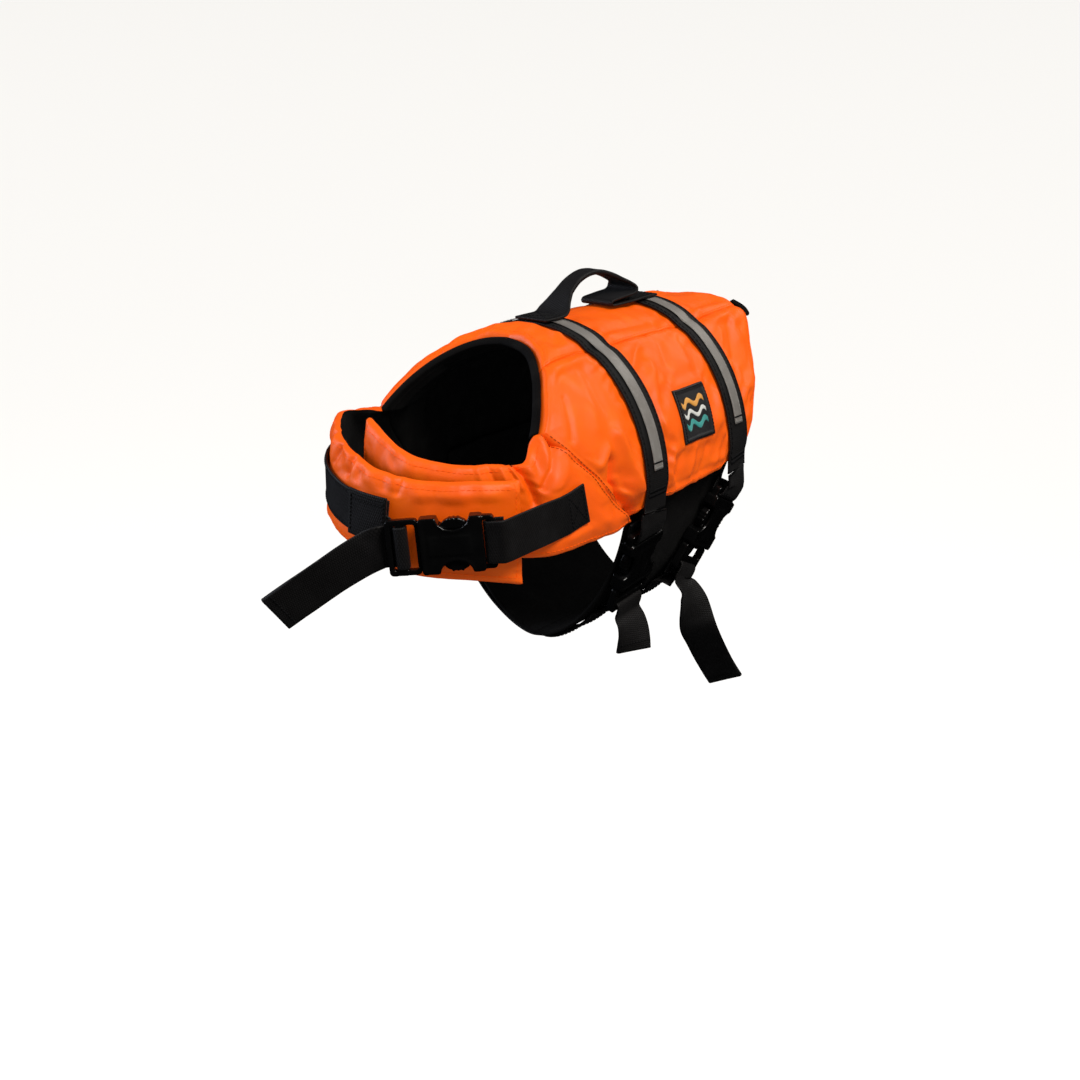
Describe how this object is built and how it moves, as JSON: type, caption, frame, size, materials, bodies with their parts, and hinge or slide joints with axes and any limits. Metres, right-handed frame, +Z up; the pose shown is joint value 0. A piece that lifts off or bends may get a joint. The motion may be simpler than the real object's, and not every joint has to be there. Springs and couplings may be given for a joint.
{
  "type": "dog life jacket",
  "caption": "Padded dog life jacket with wrap-over chest flaps, webbing bands, belly panel, side-release buckles, reflective tape and a grab handle on the back.",
  "frame": {"origin": "where the wearer's back carries the saddle: on the spine, at the inner face of the foam, midway between the two webbing bands", "axes": "+Z up, the chest and neck opening face -Y, +X is the wearer's left side"},
  "size_m": [0.178, 0.405, 0.3004],
  "materials": {
    "orange_cloth": "fluorescent woven polyester over foam, slight sheen",
    "black_lining": "matte knitted lining",
    "black_webbing": "ribbed woven webbing",
    "black_plastic": "moulded acetal, satin",
    "reflective_tape": "glass-bead reflective tape",
    "label_cloth": "woven label"
  },
  "bodies": {
    "root": {"saddle_top": "orange_cloth", "saddle_left": "orange_cloth", "saddle_right": "orange_cloth", "chest_flap_left": "orange_cloth", "chest_flap_right": "orange_cloth", "neck_lining": "black_lining", "rear_lining_left": "black_lining", "rear_lining_right": "black_lining", "belly_panel": "black_lining", "front_band": "black_webbing", "rear_band": "black_webbing", "front_buckle_female": "black_plastic", "front_buckle_male": "black_plastic", "rear_buckle_female": "black_plastic", "rear_buckle_male": "black_plastic", "front_tape": "reflective_tape", "rear_tape": "reflective_tape", "front_belly_strap": "black_webbing", "rear_belly_strap": "black_webbing", "chest_buckle_female": "black_plastic", "chest_buckle_male": "black_plastic", "chest_web_left": "black_webbing", "chest_web_right": "black_webbing", "chest_patch": "black_webbing", "chest_strap": "black_webbing", "handle": "black_webbing", "label_patch": "label_cloth"}
  },
  "joints": []
}
